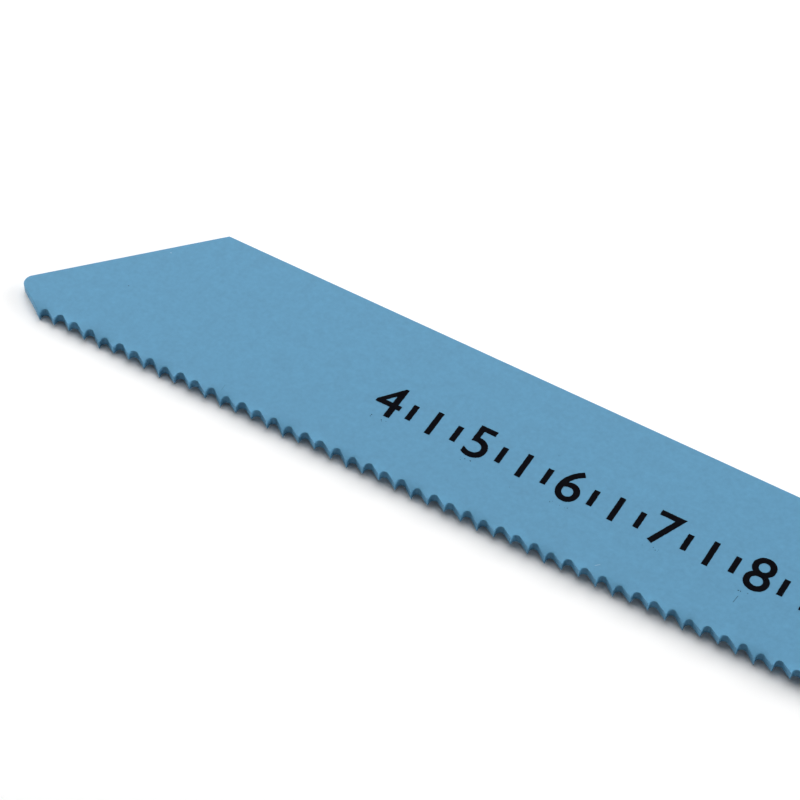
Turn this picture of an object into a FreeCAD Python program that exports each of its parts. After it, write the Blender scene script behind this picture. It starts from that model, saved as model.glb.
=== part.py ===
import FreeCAD, Part
import math
import os

# Reciprocating saw blade, one piece of painted strip steel.
# Millimetres and degrees. X runs from the nose to the shank, Y from the teeth to the
# back edge and Z through the thickness. The origin is the centre of the pin hole.

# Strip
blade_length = 150.0
blade_height = 18.5
blade_thickness = 1.0
edge_break = 0.08

# Nose: a slant down from the back edge, a small round, and an entry edge to the first tooth
nose_radius = 1.0
slant_angle = 46.3
entry_angle = 32.3
back_corner_radius = 0.2

# Teeth, milled into the lower edge of the strip
inch = 25.4
teeth_per_inch = 14
first_tooth_from_nose = 3.8
last_tooth_to_shoulder = 1.5
tooth_depth = 0.8
gullet_stagger = 0.12
gullet_radius = 0.45
rake_angle = 1.0

# Set of the teeth. The toothed edge is pressed into a wave that starts above the gullets and
# is widest at the tips. The order repeats: -1 is a crest down, 1 is a crest up.
set_order = (-1, 0, 1, 0)
tooth_set = 0.28
bend_height = 1.6
crest_before_tip = 0.22

# Shank
tang_length = 21.0
tang_height = 12.7
back_step = 2.3
shoulder_angle = 45.0
shoulder_fillet = 2.5
shoulder_corner_radius = 1.2
back_bevel = 4.0
front_bevel = 2.6
bevel_corner_radius = 0.6
pin_hole_diameter = 4.3
pin_to_end = 7.5

# Least share of a shoulder's slope that its two rounds leave straight
straight_share = 0.1

# Places that follow from the sizes
half_thickness = blade_thickness / 2
pitch = inch / teeth_per_inch
x_end = pin_to_end
x_nose = x_end - blade_length
x_first_tooth = x_nose + first_tooth_from_nose
y_tang_back = tang_height / 2
y_tang_front = -tang_height / 2
y_back = y_tang_back + back_step
y_tip = y_back - blade_height
y_bend = y_tip + bend_height
y_below_tips = y_tip - gullet_radius
bend_radius = (bend_height ** 2 + tooth_set ** 2) / (2 * tooth_set)
x_shoulder = x_end - tang_length
shoulder_slope = math.tan(math.radians(shoulder_angle))
x_back_shoulder = x_shoulder - back_step / shoulder_slope
x_front_shoulder = x_shoulder - (y_tang_front - y_tip) / shoulder_slope
toothed_length = x_front_shoulder - last_tooth_to_shoulder - x_first_tooth
tooth_count = int(toothed_length / pitch)
x_land = x_first_tooth + tooth_count * pitch
x_wave = x_first_tooth - crest_before_tip - pitch
wave_length = (tooth_count + 1) * pitch


def at(x, y, z=0.0):
    return FreeCAD.Vector(x, y, z)


def toward(angle):
    """Unit direction at an angle from +X towards +Y."""
    return at(math.cos(math.radians(angle)), math.sin(math.radians(angle)))


def crossing(p, p_angle, q, q_angle):
    """Point where the line through p meets the line through q."""
    a = toward(p_angle)
    b = toward(q_angle)
    gap = q - p
    return p + a * ((gap.x * b.y - gap.y * b.x) / (a.x * b.y - a.y * b.x))


def line(start, end):
    return Part.LineSegment(start, end).toShape()


def rounded_path(corners):
    """Edges through a list of (point, radius), with an arc at each corner between the ends."""
    edges = []
    start = corners[0][0]
    for (before, _), (corner, radius), (after, _) in zip(corners, corners[1:], corners[2:]):
        back_way = (before - corner).normalize()
        on_way = (after - corner).normalize()
        half = back_way.getAngle(on_way) / 2
        arc_start = corner + back_way * (radius / math.tan(half))
        arc_end = corner + on_way * (radius / math.tan(half))
        inward = (back_way + on_way).normalize()
        crown = corner + inward * (radius / math.sin(half) - radius)
        edges.append(line(start, arc_start))
        edges.append(Part.Arc(arc_start, crown, arc_end).toShape())
        start = arc_end
    edges.append(line(start, corners[-1][0]))
    return edges


def nose_corners():
    """Corner that the nose's round takes off, and corner of the slant and the back edge."""
    run = first_tooth_from_nose - nose_radius
    lean = math.radians(entry_angle)
    rise = (nose_radius + run * math.sin(lean)) / math.cos(lean)
    round_centre = at(x_nose + nose_radius, y_tip + rise)
    on_slant = round_centre + toward(slant_angle + 90) * nose_radius
    nose = crossing(at(x_first_tooth, y_tip), -entry_angle, on_slant, slant_angle)
    back = crossing(at(x_nose, y_back), 0, on_slant, slant_angle)
    return nose, back


def shoulder_radii(step):
    """Corner and fillet radius of a shoulder, less where its slope is too short for them."""
    slope_length = step / math.sin(math.radians(shoulder_angle))
    reach_per_radius = math.tan(math.radians(shoulder_angle / 2))
    reach = (shoulder_corner_radius + shoulder_fillet) * reach_per_radius
    fitted = min(1, slope_length * (1 - straight_share) / reach)
    return shoulder_corner_radius * fitted, shoulder_fillet * fitted


def body_edges():
    """Outline from the first tooth's tip over the nose, back edge and shank to the land."""
    nose, back = nose_corners()
    back_corner, back_fillet = shoulder_radii(back_step)
    front_corner, front_fillet = shoulder_radii(y_tang_front - y_tip)
    return rounded_path([
        (at(x_first_tooth, y_tip), 0),
        (nose, nose_radius),
        (back, back_corner_radius),
        (at(x_back_shoulder, y_back), back_corner),
        (at(x_shoulder, y_tang_back), back_fillet),
        (at(x_end - back_bevel, y_tang_back), bevel_corner_radius),
        (at(x_end, y_tang_back - back_bevel), bevel_corner_radius),
        (at(x_end, y_tang_front + front_bevel), bevel_corner_radius),
        (at(x_end - front_bevel, y_tang_front), bevel_corner_radius),
        (at(x_shoulder, y_tang_front), front_fillet),
        (at(x_front_shoulder, y_tip), front_corner),
        (at(x_land, y_tip), 0),
    ])


def gullet_edges(index):
    """Rake face, round bottom and flank, from one tooth's tip to the next."""
    tip = at(x_first_tooth + index * pitch, y_tip)
    next_tip = tip + at(pitch, 0)
    deeper = gullet_stagger / 2 if index % 2 else -gullet_stagger / 2
    rise = tooth_depth + deeper - gullet_radius
    lean = math.radians(rake_angle)
    run = (gullet_radius - rise * math.sin(lean)) / math.cos(lean)
    centre = tip + at(run, rise)
    to_next = next_tip - centre
    off = math.acos(gullet_radius / to_next.Length)
    flank_side = math.degrees(math.atan2(to_next.y, to_next.x) + off)
    rake_side = 180 + rake_angle
    start = centre + toward(rake_side) * gullet_radius
    crown = centre + toward((rake_side + flank_side) / 2) * gullet_radius
    end = centre + toward(flank_side) * gullet_radius
    return [line(tip, start), Part.Arc(start, crown, end).toShape(), line(end, next_tip)]


def milled_strip(thickness):
    """The blade's outline with all its teeth, in a given thickness."""
    edges = body_edges()
    for index in range(tooth_count):
        edges.extend(gullet_edges(index))
    outline = Part.Wire(Part.__sortEdges__(edges))
    outline.translate(at(0, 0, -thickness / 2))
    return Part.Face(outline).extrude(at(0, 0, thickness))


def bend_edge(x, z, way):
    """Edge of the strip's section from the bend's start to below the tips: a line or an arc."""
    start = at(x, y_bend, z)
    if way == 0:
        return line(start, at(x, y_below_tips, z))
    radius = bend_radius - way * z
    mid, end = (
        at(x, y, way * (bend_radius - math.sqrt(radius ** 2 - (y_bend - y) ** 2)))
        for y in ((y_bend + y_below_tips) / 2, y_below_tips)
    )
    return Part.Arc(start, mid, end).toShape()


def bent_section(x, way):
    """Closed section of the strip below the bend's start."""
    upper = bend_edge(x, half_thickness, way)
    lower = bend_edge(x, -half_thickness, way)
    root = line(upper.firstVertex().Point, lower.firstVertex().Point)
    end = line(upper.lastVertex().Point, lower.lastVertex().Point)
    return Part.Wire(Part.__sortEdges__([upper, end, lower, root]))


def waved_band():
    """The strip below the bend's start, with a section at each step of the set."""
    ways = [0] + [set_order[index % len(set_order)] for index in range(tooth_count)] + [0]
    sections = [bent_section(x_wave + step * pitch, way) for step, way in enumerate(ways)]
    return Part.makeLoft(sections, True)


def flat_band():
    """Block that holds what the wave takes the place of in the flat strip."""
    corner = at(x_wave, y_below_tips, -blade_thickness)
    return Part.makeBox(wave_length, y_bend - y_below_tips, 2 * blade_thickness, corner)


def plain_rim(strip):
    """Edges of both faces along the nose, slant, back edge and shank."""
    rim = []
    for edge in strip.Edges:
        box = edge.BoundBox
        past_teeth = box.YMin > y_tip + 2 * tooth_depth or box.XMin > x_land + pitch
        if box.ZLength < half_thickness and past_teeth:
            rim.append(edge)
    return rim


def set_teeth():
    """The strip with its rim broken and its milled teeth pressed into the wave."""
    strip = milled_strip(blade_thickness)
    body = strip.makeChamfer(edge_break, plain_rim(strip)).cut(flat_band())
    teeth = waved_band().common(milled_strip(blade_thickness + 4 * tooth_set))
    return body.fuse(teeth).removeSplitter()


def blade():
    start = at(0, 0, -blade_thickness)
    pin_hole = Part.makeCylinder(pin_hole_diameter / 2, 2 * blade_thickness, start)
    return set_teeth().cut(pin_hole).Solids[0]


def main():
    os.makedirs("parts", exist_ok=True)
    blade().exportStep("parts/blade.step")


main()
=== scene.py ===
import bpy
import math
import random
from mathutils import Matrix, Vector


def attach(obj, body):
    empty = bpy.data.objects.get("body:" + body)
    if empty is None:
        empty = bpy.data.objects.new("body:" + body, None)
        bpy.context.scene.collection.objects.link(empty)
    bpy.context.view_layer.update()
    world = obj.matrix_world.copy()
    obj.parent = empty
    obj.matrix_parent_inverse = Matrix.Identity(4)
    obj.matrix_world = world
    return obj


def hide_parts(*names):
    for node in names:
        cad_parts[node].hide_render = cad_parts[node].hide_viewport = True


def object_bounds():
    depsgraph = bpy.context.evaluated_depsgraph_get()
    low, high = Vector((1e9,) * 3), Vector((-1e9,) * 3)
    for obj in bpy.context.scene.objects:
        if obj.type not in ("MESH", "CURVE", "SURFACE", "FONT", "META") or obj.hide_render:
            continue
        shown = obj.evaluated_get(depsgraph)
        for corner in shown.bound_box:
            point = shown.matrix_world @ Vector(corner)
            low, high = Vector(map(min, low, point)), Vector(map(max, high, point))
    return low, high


# Reciprocating saw blade: satin light blue paint on the whole blade, and a black depth scale
# printed on its upper face. The scene is in metres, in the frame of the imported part, which has
# the pin hole's centre at its origin. Sizes and places named here are millimetres, angles are
# degrees unless a name says otherwise, and colours are linear.

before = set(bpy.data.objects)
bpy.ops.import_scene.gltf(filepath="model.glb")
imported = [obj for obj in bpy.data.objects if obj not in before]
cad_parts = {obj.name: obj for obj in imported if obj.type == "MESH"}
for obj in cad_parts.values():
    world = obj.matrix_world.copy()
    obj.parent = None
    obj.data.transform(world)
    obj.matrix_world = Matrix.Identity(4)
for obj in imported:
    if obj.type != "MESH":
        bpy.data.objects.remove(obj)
cad_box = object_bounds()

MM = 0.001
HALF_THICKNESS = 0.5
NOSE_X = -142.5

# Paint, with the clouds' weight beside the fine grain
BLUE = (0.0955, 0.2650, 0.4180)
PAINT_ROUGHNESS = 0.45
PAINT_GLOSS = 0.125
CLOUD_SHARE = 0.7

# Broken rims: all round, and finer along the teeth
EDGE_BREAK = 0.08
FINE_BREAK = 0.01
SMOOTH_BELOW = 40

# Teeth, and the wave that the toothed edge is pressed into
TIP_Y = -9.85
TOOTH_PITCH = 25.4 / 14
FIRST_TOOTH_FROM_NOSE = 3.8
LAST_TOOTH_X = -18.0
TOOTH_SET = 0.28
CREST_BEFORE_TIP = 0.22
WAVE_HEIGHT = 1.6
WAVE_TOP_Y = TIP_Y + WAVE_HEIGHT
WAVE_START_X = NOSE_X + FIRST_TOOTH_FROM_NOSE - CREST_BEFORE_TIP - TOOTH_PITCH
WAVE_STEPS = 67
WAVE_ROWS = 8
COLUMNS_PER_TOOTH = 8

# Points closer than this are merged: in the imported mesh, in its section, in the wave's grid and
# in the print
MESH_MERGE = 0.0005
SECTION_MERGE = 0.004
GRID_MERGE = 0.008
PRINT_MERGE = 0.001

# Small marks on the paint: start, end, width and strength of each
DARK_MARK = (0.01, 0.03, 0.05, 1)
PALE_MARK = (0.5, 0.6, 0.7, 1)
DARK_MARKS = (
    ((-133.02, -2.30), (-132.98, -2.30), 0.07, 0.8),
    ((-63.28, -5.43), (-63.19, -4.59), 0.05, 0.7),
    ((-117.44, -9.07), (-117.51, -8.08), 0.04, 0.35),
    ((-85.25, 1.18), (-85.22, 1.18), 0.06, 0.4),
    ((-87.45, -4.55), (-87.40, -4.55), 0.05, 0.4),
)
PALE_MARKS = (
    ((-131.89, 3.63), (-131.84, 3.63), 0.06, 0.6),
    ((-76.11, -8.38), (-75.76, -8.04), 0.03, 0.5),
)

# Depth scale: centimetres from the nose, with ticks at each quarter where there is room
SCALE_NUMBERS = range(4, 13)
SCALE_MIDDLE_Y = -1.6
CENTIMETRE = 10
TICK_HEIGHTS = (2.0, 3.0, 2.0)
NUMBER_HEIGHT = 3.9
DIGIT_SHARE = 0.69
DIGIT_SWELL = 0.05
STROKE = 0.6
RAGGED_STEP = 0.16
RAGGEDNESS = 0.028

# Ink, and the stray drops below each number
INK = (0.0035, 0.0035, 0.0050)
INK_ROUGHNESS = 0.9
INK_GLOSS = 0.01
INK_THICKNESS = 0.02
DROPS_PER_NUMBER = 5
DROP_ASIDE = 1
DROP_FALL = (0.15, 0.6)
DROP_RADIUS = (0.02, 0.055)
DROP_SEED = 14

# Softboxes round the middle of the visible end: azimuth from the back edge's side towards the
# shank's, elevation, distance, side and watts
LIT_MIDDLE = (-90, 0, 0)
SOFTBOXES = {
    "high_back_softbox": (0, 68, 470, 260, 0.40),
    "high_left_softbox": (300, 68, 470, 260, 0.29),
    "back_softbox": (0, 44, 450, 280, 0.24),
    "back_left_softbox": (315, 44, 450, 280, 0.67),
    "low_back_right_softbox": (45, 20, 450, 250, 1.30),
    "low_right_softbox": (90, 20, 450, 250, 0.83),
    "low_front_softbox": (180, 20, 450, 250, 0.11),
    "low_front_left_softbox": (225, 20, 450, 250, 0.11),
    "low_left_softbox": (270, 20, 450, 250, 1.34),
}

# Floor: it falls away towards the shank in radians, and turns plain white between two distances
FLOOR_SIZE = 4000
FLOOR_DROP = 0.003
FLOOR_ALBEDO = 0.8
FAR_FLOOR = (100, 150)

# Camera, with its azimuth and elevation in radians
LENS = 120.476
SENSOR_WIDTH = 36
CAMERA_TARGET = (-101.85, -0.824, 0.5)
CAMERA_DISTANCE = 261.23
CAMERA_AZIMUTH = 0.543723
CAMERA_ELEVATION = 0.890625


def in_metres(values):
    return Vector(values) * MM


def deselect_all():
    if bpy.context.object and bpy.context.object.mode == "EDIT":
        bpy.ops.object.mode_set(mode="OBJECT")
    bpy.ops.object.select_all(action="DESELECT")


def take_up(piece):
    """Makes a piece the only selected and the active one."""
    deselect_all()
    piece.select_set(True)
    bpy.context.view_layer.objects.active = piece


# Shader nodes

def feed(tree, socket, value):
    """Gives an input socket a plain value, or links it to an output."""
    if isinstance(value, bpy.types.NodeSocket):
        tree.links.new(value, socket)
    else:
        socket.default_value = value


def maths(tree, operation, *values):
    made = tree.nodes.new("ShaderNodeMath")
    made.operation = operation
    for socket, value in zip(made.inputs, values):
        feed(tree, socket, value)
    return made.outputs[0]


def vectors(tree, operation, *values):
    made = tree.nodes.new("ShaderNodeVectorMath")
    made.operation = operation
    for socket, value in zip(made.inputs, values):
        feed(tree, socket, value)
    return made


def scaled(tree, vector, factor):
    made = vectors(tree, "SCALE", vector)
    feed(tree, made.inputs["Scale"], factor)
    return made.outputs["Vector"]


def spread(tree, value, low, high, to_low, to_high):
    """Maps a range of values onto another, smoothly between its ends."""
    made = tree.nodes.new("ShaderNodeMapRange")
    made.interpolation_type = "SMOOTHSTEP"
    for name, number in (("Value", value), ("From Min", low), ("From Max", high),
                         ("To Min", to_low), ("To Max", to_high)):
        feed(tree, made.inputs[name], number)
    return made.outputs["Result"]


def noise(tree, vector, per_mm, detail, roughness):
    made = tree.nodes.new("ShaderNodeTexNoise")
    for name, value in (("Vector", vector), ("Scale", per_mm), ("Detail", detail),
                        ("Roughness", roughness)):
        feed(tree, made.inputs[name], value)
    return made.outputs["Fac"]


def mixed(tree, mask, first, second):
    """Mixes two colours: the node's sockets for colours come after those for other kinds."""
    made = tree.nodes.new("ShaderNodeMix")
    made.data_type = "RGBA"
    feed(tree, made.inputs["Factor"], mask)
    feed(tree, made.inputs[6], first)
    feed(tree, made.inputs[7], second)
    return made.outputs[2]


def blended(tree, share, first, second):
    """Mixes two shader nodes."""
    made = tree.nodes.new("ShaderNodeMixShader")
    tree.links.new(share, made.inputs[0])
    tree.links.new(first.outputs[0], made.inputs[1])
    tree.links.new(second.outputs[0], made.inputs[2])
    return made


def new_group(name, inputs, outputs):
    """A node group, with its given values and its results, by socket name."""
    tree = bpy.data.node_groups.new(name, "ShaderNodeTree")
    for label, kind in inputs.items():
        tree.interface.new_socket(label, in_out="INPUT", socket_type=kind)
    for label, kind in outputs.items():
        tree.interface.new_socket(label, in_out="OUTPUT", socket_type=kind)
    given = tree.nodes.new("NodeGroupInput").outputs
    result = tree.nodes.new("NodeGroupOutput").inputs
    return tree, given, result


def placed_group(tree, group, **values):
    made = tree.nodes.new("ShaderNodeGroup")
    made.node_tree = group
    for name, value in values.items():
        feed(tree, made.inputs[name.replace("_", " ").capitalize()], value)
    return made.outputs


def film_grain_group():
    """The grain of a thin coat: a fine and a cloudy tone, both 0 on average, and a height."""
    tree, given, result = new_group(
        "film_grain",
        {"Vector": "NodeSocketVector", "Grain per mm": "NodeSocketFloat",
         "Clouds per mm": "NodeSocketFloat", "Depth": "NodeSocketFloat"},
        {"Tone": "NodeSocketFloat", "Height": "NodeSocketFloat"},
    )
    place = scaled(tree, given["Vector"], 1 / MM)
    grain = noise(tree, place, given["Grain per mm"], 3.0, 0.6)
    clouds = noise(tree, place, given["Clouds per mm"], 2.0, 0.5)
    both = maths(tree, "MULTIPLY_ADD", clouds, CLOUD_SHARE, grain)
    centred = maths(tree, "SUBTRACT", both, (1 + CLOUD_SHARE) / 2)
    tree.links.new(maths(tree, "MULTIPLY", centred, given["Depth"]), result["Tone"])
    tree.links.new(grain, result["Height"])
    return tree


def short_mark_group():
    """A speck or scratch on the upper face: 1 on the line from its start to its end."""
    tree, given, result = new_group(
        "short_mark",
        {"Vector": "NodeSocketVector", "Start": "NodeSocketVector", "End": "NodeSocketVector",
         "Width": "NodeSocketFloat", "Strength": "NodeSocketFloat"},
        {"Mask": "NodeSocketFloat"},
    )
    place = scaled(tree, given["Vector"], 1 / MM)
    along = vectors(tree, "SUBTRACT", given["End"], given["Start"]).outputs["Vector"]
    reach = vectors(tree, "SUBTRACT", place, given["Start"]).outputs["Vector"]
    covered = vectors(tree, "DOT_PRODUCT", reach, along).outputs["Value"]
    whole = vectors(tree, "DOT_PRODUCT", along, along).outputs["Value"]
    share = maths(tree, "MAXIMUM", maths(tree, "DIVIDE", covered, whole), 0.0)
    share = maths(tree, "MINIMUM", share, 1.0)
    aside = vectors(tree, "SUBTRACT", reach, scaled(tree, along, share)).outputs["Vector"]
    distance = vectors(tree, "LENGTH", aside).outputs["Value"]
    inner = maths(tree, "MULTIPLY", given["Width"], 0.4)
    mask = spread(tree, distance, inner, given["Width"], 1.0, 0.0)
    tree.links.new(maths(tree, "MULTIPLY", mask, given["Strength"]), result["Mask"])
    return tree


def new_material(name):
    made = bpy.data.materials.new(name)
    made.use_nodes = True
    tree = made.node_tree
    place = tree.nodes.new("ShaderNodeTexCoord").outputs["Object"]
    return made, tree, tree.nodes["Principled BSDF"], place


def rough_surface(tree, shader, height, depth):
    """Grain that the light catches, a given number of millimetres deep."""
    bump = tree.nodes.new("ShaderNodeBump")
    bump.inputs["Strength"].default_value = 1.0
    bump.inputs["Distance"].default_value = depth * MM
    tree.links.new(height, bump.inputs["Height"])
    tree.links.new(bump.outputs["Normal"], shader.inputs["Normal"])


def with_marks(tree, place, colour, mark_group, marks, mark_colour):
    for start, end, width, strength in marks:
        mask = placed_group(
            tree, mark_group, vector=place, start=(*start, HALF_THICKNESS),
            end=(*end, HALF_THICKNESS), width=width, strength=strength)["Mask"]
        colour = mixed(tree, mask, colour, mark_colour)
    return colour


def satin_blue_paint(grain_group, mark_group):
    """Blue paint with a fine grain and faint clouds, and a few specks and scratches."""
    made, tree, shader, place = new_material("satin_blue_paint")
    grain = placed_group(tree, grain_group, vector=place, grain_per_mm=2.2, clouds_per_mm=0.9,
                         depth=0.24)
    colour = scaled(tree, BLUE, maths(tree, "ADD", grain["Tone"], 1.0))
    colour = with_marks(tree, place, colour, mark_group, DARK_MARKS, DARK_MARK)
    colour = with_marks(tree, place, colour, mark_group, PALE_MARKS, PALE_MARK)
    tree.links.new(colour, shader.inputs["Base Color"])
    roughness = maths(tree, "ADD", grain["Tone"], PAINT_ROUGHNESS)
    tree.links.new(roughness, shader.inputs["Roughness"])
    shader.inputs["Specular IOR Level"].default_value = PAINT_GLOSS
    rough_surface(tree, shader, grain["Height"], depth=0.004)
    return made


def print_ink(grain_group):
    """Matte black ink, a little uneven where it was stamped."""
    made, tree, shader, place = new_material("print_ink")
    grain = placed_group(tree, grain_group, vector=place, grain_per_mm=6.0, clouds_per_mm=1.2,
                         depth=1.2)
    colour = scaled(tree, INK, maths(tree, "ADD", grain["Tone"], 1.0))
    tree.links.new(colour, shader.inputs["Base Color"])
    shader.inputs["Roughness"].default_value = INK_ROUGHNESS
    shader.inputs["Specular IOR Level"].default_value = INK_GLOSS
    rough_surface(tree, shader, grain["Height"], depth=0.006)
    return made


# The blade

def blade_outline():
    """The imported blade's outline with its pin hole, flat at the level of the lower face."""
    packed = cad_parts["blade"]
    blade = packed.copy()
    blade.data = packed.data.copy()
    blade.name = "painted_blade"
    blade.parent = None
    bpy.context.scene.collection.objects.link(blade)
    take_up(blade)
    bpy.ops.object.mode_set(mode="EDIT")
    bpy.ops.mesh.select_all(action="SELECT")
    bpy.ops.mesh.remove_doubles(threshold=MESH_MERGE * MM)
    bpy.ops.mesh.bisect(plane_co=(0, 0, 0), plane_no=(0, 0, 1), use_fill=True,
                        clear_inner=True, clear_outer=True)
    bpy.ops.mesh.select_all(action="SELECT")
    bpy.ops.mesh.remove_doubles(threshold=SECTION_MERGE * MM)
    bpy.ops.transform.translate(value=(0, 0, -HALF_THICKNESS * MM))
    return blade


def cut_all(place, direction):
    """Cuts what isn't hidden along a plane."""
    bpy.ops.mesh.select_all(action="SELECT")
    bpy.ops.mesh.bisect(plane_co=in_metres(place), plane_no=direction)


def cut_wave_band(blade):
    """Cuts the toothed edge into small fields that can follow the wave."""
    cut_all((0, WAVE_TOP_Y, 0), (0, 1, 0))
    bpy.ops.object.mode_set(mode="OBJECT")
    for face in blade.data.polygons:
        face.select = face.center.y < WAVE_TOP_Y * MM
    bpy.ops.object.mode_set(mode="EDIT")
    bpy.ops.mesh.hide(unselected=True)
    for row in range(1, WAVE_ROWS):
        cut_all((0, WAVE_TOP_Y - row * WAVE_HEIGHT / WAVE_ROWS, 0), (0, 1, 0))
    for column in range(WAVE_STEPS * COLUMNS_PER_TOOTH):
        cut_all((WAVE_START_X + column * TOOTH_PITCH / COLUMNS_PER_TOOTH, 0, 0), (1, 0, 0))
    bpy.ops.mesh.reveal()
    bpy.ops.mesh.select_all(action="SELECT")
    bpy.ops.mesh.remove_doubles(threshold=GRID_MERGE * MM)


def break_rims(blade):
    """Rounds both faces' rims: a broken edge all round, and a finer one along the teeth."""
    mesh = blade.data
    upright = {}
    for face in mesh.polygons:
        for key in face.edge_keys:
            upright.setdefault(key, set()).add(abs(face.normal.z) < 0.5)
    weight = mesh.attributes.new("bevel_weight_edge", "FLOAT", "EDGE")
    for edge in mesh.edges:
        if len(upright[edge.key]) == 2:
            middle = sum((mesh.vertices[index].co for index in edge.vertices), Vector()) / 2
            toothed = middle.y < WAVE_TOP_Y * MM and middle.x < LAST_TOOTH_X * MM
            weight.data[edge.index].value = FINE_BREAK / EDGE_BREAK if toothed else 1.0
    broken = blade.modifiers.new("broken_edge", "BEVEL")
    broken.width = EDGE_BREAK * MM
    broken.segments = 2
    broken.limit_method = "WEIGHT"
    broken.use_clamp_overlap = False
    bpy.ops.object.modifier_apply(modifier="broken_edge")


def press_wave(blade):
    """Sets the teeth: the toothed edge goes down and up in a wave, most at the tips."""
    middle_radius = (WAVE_HEIGHT ** 2 + TOOTH_SET ** 2) / (2 * TOOTH_SET)
    for point in blade.data.vertices:
        x, y, z = point.co / MM
        step = (x - WAVE_START_X) / TOOTH_PITCH
        if y < WAVE_TOP_Y and 0 < step < WAVE_STEPS:
            way = -math.sin(math.pi / 2 * step) * min(1, (WAVE_STEPS - step) / 2)
            radius = middle_radius - math.copysign(z, way * z)
            bend = radius - math.sqrt(radius ** 2 - (WAVE_TOP_Y - y) ** 2)
            point.co.z += way * bend * MM


def painted_blade(paint):
    """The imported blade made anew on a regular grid, with its teeth set and its rims broken."""
    blade = blade_outline()
    cut_wave_band(blade)
    thickness = 2 * HALF_THICKNESS * MM
    bpy.ops.mesh.extrude_region_move(TRANSFORM_OT_translate={"value": (0, 0, thickness)})
    bpy.ops.mesh.select_all(action="SELECT")
    bpy.ops.mesh.normals_make_consistent(inside=False)
    bpy.ops.object.mode_set(mode="OBJECT")
    break_rims(blade)
    press_wave(blade)
    bpy.ops.object.shade_smooth_by_angle(angle=math.radians(SMOOTH_BELOW))
    smoothed = blade.modifiers.new("flat_faces_lead", "WEIGHTED_NORMAL")
    smoothed.keep_sharp = True
    bpy.ops.object.modifier_apply(modifier="flat_faces_lead")
    blade.data.materials.clear()
    blade.data.materials.append(paint)
    return blade


# The depth scale

def rim_sides(mesh):
    """The outline's edges as pairs of points, each with the face on its left."""
    sides = [key for face in mesh.polygons
             for key in zip(face.vertices, (*face.vertices[1:], face.vertices[0]))]
    inner = {(end, start) for start, end in sides}
    return [side for side in sides if side not in inner]


def swell_strokes(piece, by):
    """Moves a flat outline outwards, as ink spreads."""
    points = piece.data.vertices
    outward = {}
    for side in rim_sides(piece.data):
        start, end = (points[index].co for index in side)
        along = (end - start).normalized()
        for index in side:
            outward.setdefault(index, []).append(Vector((along.y, -along.x, 0)))
    for index, (first, second) in outward.items():
        points[index].co += (first + second) * by / max(0.5, 1 + first.dot(second))


def select_long_rim(piece, longest):
    """Selects the outline's edges that are too long, and says whether there are any."""
    bpy.ops.object.mode_set(mode="OBJECT")
    mesh = piece.data
    rim = {tuple(sorted(side)) for side in rim_sides(mesh)}
    for part in (*mesh.vertices, *mesh.polygons):
        part.select = False
    found = False
    for edge in mesh.edges:
        start, end = (mesh.vertices[index].co for index in edge.vertices)
        edge.select = tuple(sorted(edge.vertices)) in rim and (end - start).length > longest
        found = found or edge.select
    bpy.ops.object.mode_set(mode="EDIT")
    return found


def ragged_outline(piece, seed):
    """Breaks a flat outline into short steps and moves each a little, as stamped ink dries."""
    bpy.context.tool_settings.mesh_select_mode = (False, True, False)
    while select_long_rim(piece, RAGGED_STEP * MM):
        bpy.ops.mesh.subdivide(number_cuts=1)
    bpy.ops.mesh.select_all(action="SELECT")
    bpy.ops.transform.vertex_random(offset=RAGGEDNESS * MM, seed=seed)
    bpy.ops.transform.resize(value=(1, 1, 0), center_override=(0, 0, HALF_THICKNESS * MM))
    bpy.ops.object.mode_set(mode="OBJECT")


def flat_number(value):
    deselect_all()
    place = in_metres((NOSE_X + CENTIMETRE * value, SCALE_MIDDLE_Y, HALF_THICKNESS))
    bpy.ops.object.text_add(location=place)
    words = bpy.context.object.data
    words.body = str(value)
    words.align_x = "CENTER"
    words.align_y = "CENTER"
    words.size = NUMBER_HEIGHT / DIGIT_SHARE * MM
    words.resolution_u = 8
    bpy.ops.object.convert(target="MESH")
    bpy.ops.object.transform_apply(location=True, rotation=True, scale=True)
    bpy.context.object.name = f"number_{value}"
    return bpy.context.object


def flat_tick(x, height):
    deselect_all()
    place = in_metres((x, SCALE_MIDDLE_Y, HALF_THICKNESS))
    bpy.ops.mesh.primitive_plane_add(size=1, location=place)
    bpy.context.object.scale = (STROKE * MM, height * MM, 1)
    bpy.ops.object.transform_apply(location=True, rotation=True, scale=True)
    return bpy.context.object


def stray_drop(draw, x):
    """A tiny drop of ink just below a number."""
    deselect_all()
    aside = draw.uniform(-DROP_ASIDE, DROP_ASIDE)
    y = SCALE_MIDDLE_Y - NUMBER_HEIGHT / 2 - draw.uniform(*DROP_FALL)
    bpy.ops.mesh.primitive_circle_add(
        vertices=7, radius=draw.uniform(*DROP_RADIUS) * MM, fill_type="NGON",
        location=in_metres((x + aside, y, HALF_THICKNESS)))
    bpy.ops.object.transform_apply(location=True, rotation=True, scale=True)
    return bpy.context.object


def flat_marks():
    """The scale's numbers, with three ticks between two, or one next to two-digit numbers."""
    marks = []
    for value in SCALE_NUMBERS:
        marks.append(flat_number(value))
        if value == SCALE_NUMBERS[-1]:
            break
        for quarter, height in enumerate(TICK_HEIGHTS, start=1):
            nearest = value if quarter < 3 else value + 1
            if quarter == 2 or nearest < 10:
                marks.append(flat_tick(NOSE_X + CENTIMETRE * (value + quarter / 4), height))
    return marks


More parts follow.
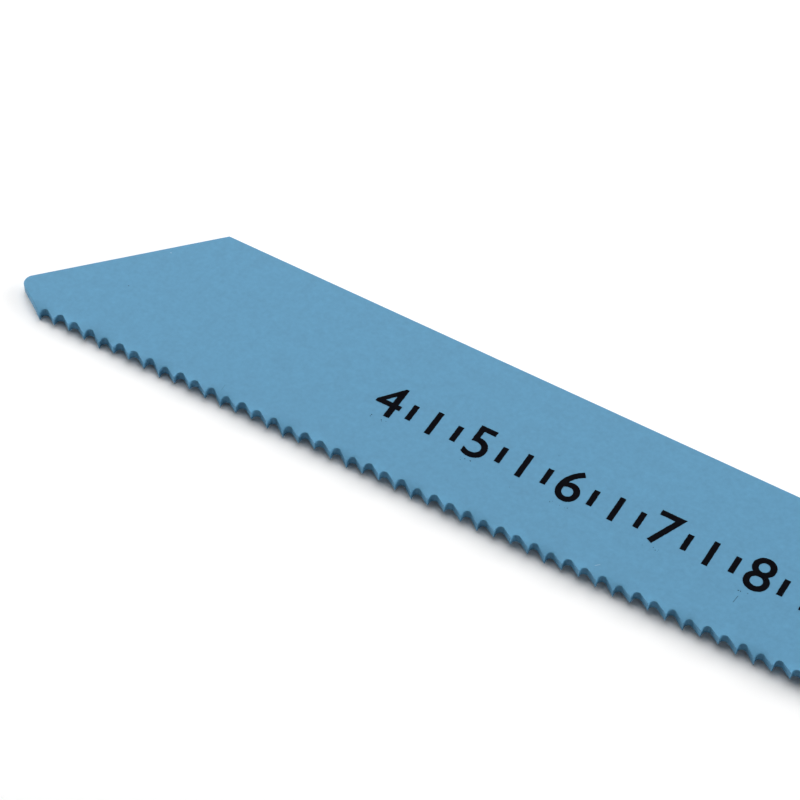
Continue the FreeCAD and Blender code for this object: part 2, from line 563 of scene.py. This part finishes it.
def depth_scale(ink):
    """Numbers, ticks and stray drops of ink that stands a little proud of the paint."""
    printed = flat_marks()
    for seed, piece in enumerate(printed):
        take_up(piece)
        bpy.ops.object.mode_set(mode="EDIT")
        bpy.ops.mesh.select_all(action="SELECT")
        bpy.ops.mesh.remove_doubles(threshold=PRINT_MERGE * MM)
        bpy.ops.object.mode_set(mode="OBJECT")
        if piece.name.startswith("number"):
            swell_strokes(piece, DIGIT_SWELL * MM)
        ragged_outline(piece, seed)
    draw = random.Random(DROP_SEED)
    for value in SCALE_NUMBERS:
        for _ in range(DROPS_PER_NUMBER):
            printed.append(stray_drop(draw, NOSE_X + CENTIMETRE * value))
    deselect_all()
    for piece in printed:
        piece.select_set(True)
    bpy.context.view_layer.objects.active = printed[0]
    bpy.ops.object.join()
    scale = bpy.context.object
    scale.name = "depth_scale"
    thick = scale.modifiers.new("ink", "SOLIDIFY")
    thick.thickness = INK_THICKNESS * MM
    thick.offset = 1
    bpy.ops.object.modifier_apply(modifier="ink")
    scale.data.materials.clear()
    scale.data.materials.append(ink)
    return scale


# Floor, light and camera

def seen_directly(tree):
    """1 for the rays that show a surface to the camera, straight or in gloss or glass."""
    rays = tree.nodes.new("ShaderNodeLightPath").outputs
    seen = maths(tree, "MAXIMUM", rays["Is Camera Ray"], rays["Is Glossy Ray"])
    return maths(tree, "MAXIMUM", seen, rays["Is Transmission Ray"])


def floor_white():
    """White where it is seen, a little less for the light it throws back, clear from below."""
    made = bpy.data.materials.new("floor_white")
    made.use_nodes = True
    tree = made.node_tree
    seen = seen_directly(tree)
    shader = tree.nodes["Principled BSDF"]
    level = maths(tree, "MULTIPLY_ADD", seen, 1 - FLOOR_ALBEDO, FLOOR_ALBEDO)
    tree.links.new(level, shader.inputs["Base Color"])
    shader.inputs["Roughness"].default_value = 1.0
    shader.inputs["Specular IOR Level"].default_value = 0.0
    place = tree.nodes.new("ShaderNodeNewGeometry").outputs
    reach = vectors(tree, "SUBTRACT", place["Position"], in_metres(LIT_MIDDLE)).outputs["Vector"]
    distance = vectors(tree, "LENGTH", reach).outputs["Value"]
    far = spread(tree, distance, FAR_FLOOR[0] * MM, FAR_FLOOR[1] * MM, 0.0, 1.0)
    glow = tree.nodes.new("ShaderNodeEmission")
    from_above = blended(tree, maths(tree, "MULTIPLY", far, seen), shader, glow)
    clear = tree.nodes.new("ShaderNodeBsdfTransparent")
    both_sides = blended(tree, place["Backfacing"], from_above, clear)
    tree.links.new(both_sides.outputs[0], tree.nodes["Material Output"].inputs["Surface"])
    return made


def white_floor():
    """A floor that the nose rests on: it meets the back edge and the lowest tooth there."""
    deselect_all()
    lowest, highest = cad_box
    fall = math.atan2(-HALF_THICKNESS * MM - lowest.z, highest.y - lowest.y)
    place = (lowest.x, highest.y, -HALF_THICKNESS * MM)
    bpy.ops.mesh.primitive_plane_add(
        size=FLOOR_SIZE * MM, location=place, rotation=(fall, FLOOR_DROP, 0))
    floor = bpy.context.object
    floor.name = "floor"
    floor.data.materials.append(floor_white())


def surroundings():
    """White where the camera and gloss look, and no light of its own on the blade."""
    world = bpy.data.worlds.new("studio")
    bpy.context.scene.world = world
    world.use_nodes = True
    tree = world.node_tree
    background = tree.nodes["Background"]
    background.inputs["Color"].default_value = (1, 1, 1, 1)
    tree.links.new(seen_directly(tree), background.inputs["Strength"])


def softbox(name, azimuth, elevation, distance, side, watts):
    deselect_all()
    azimuth, elevation = math.radians(azimuth), math.radians(elevation)
    outward = Vector((math.sin(azimuth) * math.cos(elevation),
                      math.cos(azimuth) * math.cos(elevation),
                      math.sin(elevation)))
    place = in_metres(LIT_MIDDLE) + outward * distance * MM
    turn = outward.to_track_quat("Z", "Y").to_euler()
    bpy.ops.object.light_add(type="AREA", location=place, rotation=turn)
    lamp = bpy.context.object
    lamp.name = name
    lamp.data.shape = "SQUARE"
    lamp.data.size = side * MM
    lamp.data.energy = watts


def camera():
    """The camera at the photo's place, as worked out from the spacing of the teeth."""
    deselect_all()
    azimuth, elevation = CAMERA_AZIMUTH, CAMERA_ELEVATION
    back = Vector((math.sin(azimuth) * math.cos(elevation),
                   -math.cos(azimuth) * math.cos(elevation),
                   math.sin(elevation)))
    place = in_metres(CAMERA_TARGET) + back * CAMERA_DISTANCE * MM
    bpy.ops.object.camera_add(location=place, rotation=(math.pi / 2 - elevation, 0, azimuth))
    made = bpy.context.object
    made.data.lens = LENS
    made.data.sensor_width = SENSOR_WIDTH
    made.data.clip_start = 0.01
    bpy.context.scene.camera = made


def main():
    grain_group = film_grain_group()
    blade = painted_blade(satin_blue_paint(grain_group, short_mark_group()))
    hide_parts("blade")
    for piece in (blade, depth_scale(print_ink(grain_group))):
        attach(piece, "root")
    white_floor()
    surroundings()
    for name, values in SOFTBOXES.items():
        softbox(name, *values)
    camera()
    bpy.context.scene.view_settings.view_transform = "Standard"


main()
